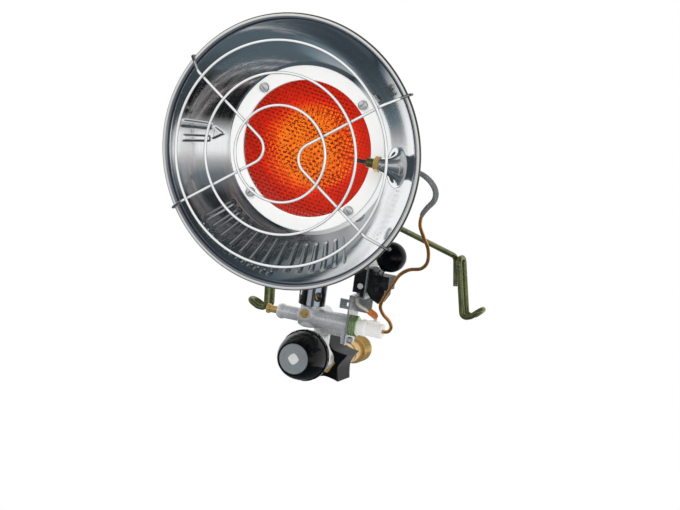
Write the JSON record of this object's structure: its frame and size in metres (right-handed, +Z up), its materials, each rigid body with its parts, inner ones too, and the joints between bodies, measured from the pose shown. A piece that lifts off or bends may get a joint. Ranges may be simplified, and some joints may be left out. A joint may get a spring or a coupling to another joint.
{
  "type": "portable propane heater",
  "caption": "Tank-top radiant propane heater: dished reflector with wire guard, glowing burner, mixer tube, safety valve, regulator, inlet handwheel and collar bracket.",
  "frame": {"origin": "middle of the inlet's left-hand thread, on its axis", "axes": "+Y along the inlet's axis, towards the cylinder valve that it screws into; +Z up; the reflector faces -Y; +X to the right as seen from the front"},
  "size_m": [0.2249, 0.2682, 0.3118],
  "materials": {
    "polished_reflector": "polished",
    "guard_wire": "bright plated wire",
    "white_enamel": "white enamel",
    "glowing_screen": "woven wire, red hot",
    "glowing_dome": "perforated sheet, orange hot",
    "gasket_fibre": "pressed ceramic fibre",
    "plated_sheet": "aluminised sheet",
    "bright_steel": "plated fasteners",
    "chromed_tube": "bright chromed",
    "brass": "turned",
    "zinc_casting": "die-cast, satin",
    "spring_steel": "spring wire",
    "seal_rubber": "matt",
    "green_plated_nut": "yellow-green zinc",
    "white_plastic": "moulded",
    "plate_steel": "zinc plated",
    "black_moulding": "textured black",
    "gloss_black": "polished black",
    "wire_white": "wire insulation",
    "sleeve_orange": "heat-shrink sleeve",
    "probe_steel": "heat-darkened",
    "olive_zinc": "olive chromate over zinc",
    "sleeve_grey": "braided glass sleeve",
    "copper": "copper capillary",
    "label_grey": "printed disc",
    "wheel_black": "satin black"
  },
  "bodies": {
    "heater": {"reflector": "polished_reflector", "guard_ring_outer": "guard_wire", "guard_ring_middle": "guard_wire", "guard_ring_inner": "guard_wire", "guard_spoke_left": "guard_wire", "guard_spoke_right": "guard_wire", "retaining_ring": "white_enamel", "burner_screen": "glowing_screen", "radiant_dome": "glowing_dome", "burner_gasket": "gasket_fibre", "burner_cup": "plated_sheet", "ring_screws": "bright_steel", "ring_nuts": "bright_steel", "burner_elbow": "chromed_tube", "mixer_tube": "chromed_tube", "orifice": "brass", "valve_body": "zinc_casting", "front_plug": "brass", "plunger_spring": "spring_steel", "magnet_unit": "brass", "magnet_nut": "green_plated_nut", "interrupter_block": "white_plastic", "switch_plate": "plate_steel", "plate_screws": "bright_steel", "tip_switch": "black_moulding", "switch_rivets": "bright_steel", "switch_wires": "wire_white", "wire_sleeve": "sleeve_orange", "button_housing": "black_moulding", "thermocouple_probe": "probe_steel", "thermocouple_collar": "olive_zinc", "thermocouple_nut": "brass", "lead_sleeve": "sleeve_grey", "thermocouple_lead": "copper", "regulator_body": "zinc_casting", "regulator_diaphragm": "seal_rubber", "regulator_spring": "spring_steel", "regulator_bonnet": "zinc_casting", "inlet_nipple": "brass", "nose_seal": "seal_rubber", "tube_clamp": "plate_steel", "clamp_screw": "bright_steel", "hub_clip": "bright_steel"},
    "regulator_knob": {"regulator_knob": "gloss_black", "knob_label": "label_grey"},
    "inlet_wheel": {"handwheel": "wheel_black", "inlet_nut": "brass"},
    "safety_plunger": {"plunger_rod": "brass", "valve_disc": "seal_rubber"},
    "start_button": {"button_ball": "gloss_black", "button_stem": "bright_steel"},
    "bracket": {"bracket_hub": "olive_zinc", "bracket_arm_right": "olive_zinc", "bracket_arm_left": "olive_zinc", "collar_hook_right": "olive_zinc", "collar_hook_left": "olive_zinc"}
  },
  "joints": [
    {"name": "knob_turn", "type": "hinge", "parent": "heater", "child": "regulator_knob", "pos_m": [0, -0.125, 0.0115], "axis": [0, 1, 0], "range_deg": [-60, 60]},
    {"name": "wheel_turn", "type": "hinge", "parent": "heater", "child": "inlet_wheel", "pos_m": [0, 0, 0], "axis": [0, 1, 0], "continuous": true},
    {"name": "plunger_push", "type": "slide", "parent": "heater", "child": "safety_plunger", "axis": [1, 0, 0], "range_m": [0, 0.004], "stiffness_N_per_m": 500, "deforming": ["plunger_spring"]},
    {"name": "button_push", "type": "slide", "parent": "heater", "child": "start_button", "axis": [-0.43, 0, -0.9028], "range_m": [0, 0.0025], "stiffness_N_per_m": 800},
    {"name": "bracket_swing", "type": "hinge", "parent": "heater", "child": "bracket", "pos_m": [0, -0.1022, 0.147], "axis": [0, 1, 0], "range_deg": [-6, 16]}
  ]
}
